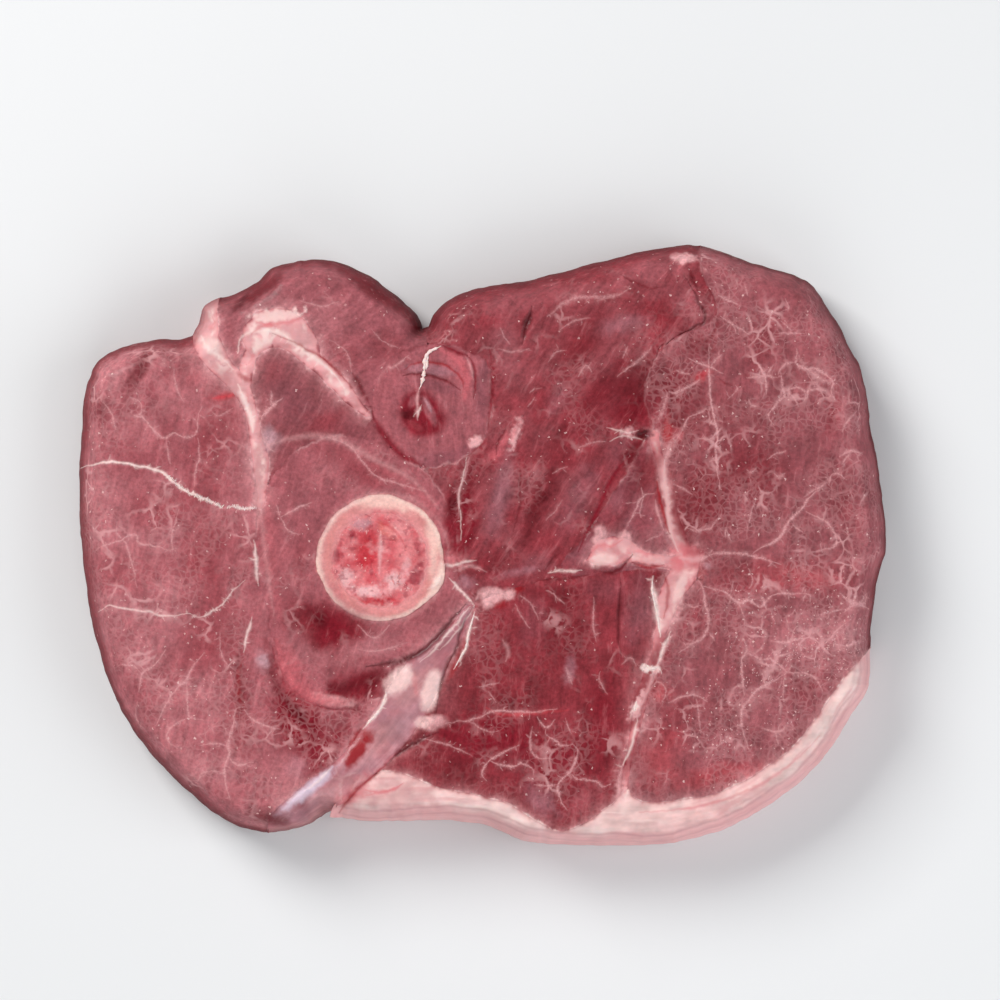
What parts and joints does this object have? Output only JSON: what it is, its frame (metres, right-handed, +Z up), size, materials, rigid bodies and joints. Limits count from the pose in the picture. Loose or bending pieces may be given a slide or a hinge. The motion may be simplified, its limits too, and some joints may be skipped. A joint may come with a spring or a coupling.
{
  "type": "raw lamb leg steak",
  "caption": "Thick raw bone-in lamb leg steak, a slice across the thigh with a round femur ring, red marrow, marbled muscles and an outer fat edge.",
  "frame": {"origin": "on the flat lower face, below the middle of the slice's bounding box", "axes": "+Z up through the thickness towards the shown cut face, +X along the slice's longer side, -Y towards the outer fat cover"},
  "size_m": [0.1711, 0.1271, 0.0198],
  "materials": {
    "lean": "moist marbled muscle",
    "lean_dark": "moist dark muscle",
    "lean_pale": "moist pale muscle",
    "fat": "waxy moist fat",
    "fascia": "wet fascia sheet",
    "bone": "sawn compact bone",
    "marrow": "wet red marrow with spongy bone"
  },
  "bodies": {
    "root": {"femur_ring": "bone", "marrow": "marrow", "fat_arch": "fat", "fat_star": "fat", "fascia_band": "fascia", "fat_cover": "fat", "muscle_rolled": "lean_pale", "muscle_bone_wrap": "lean", "muscle_front": "lean", "muscle_upper_lobe": "lean_pale", "muscle_outer_thigh": "lean", "muscle_middle_wedge": "lean_dark", "muscle_under_thigh": "lean_dark", "muscle_inner_thigh": "lean_dark", "muscle_back_thigh": "lean"}
  },
  "joints": []
}
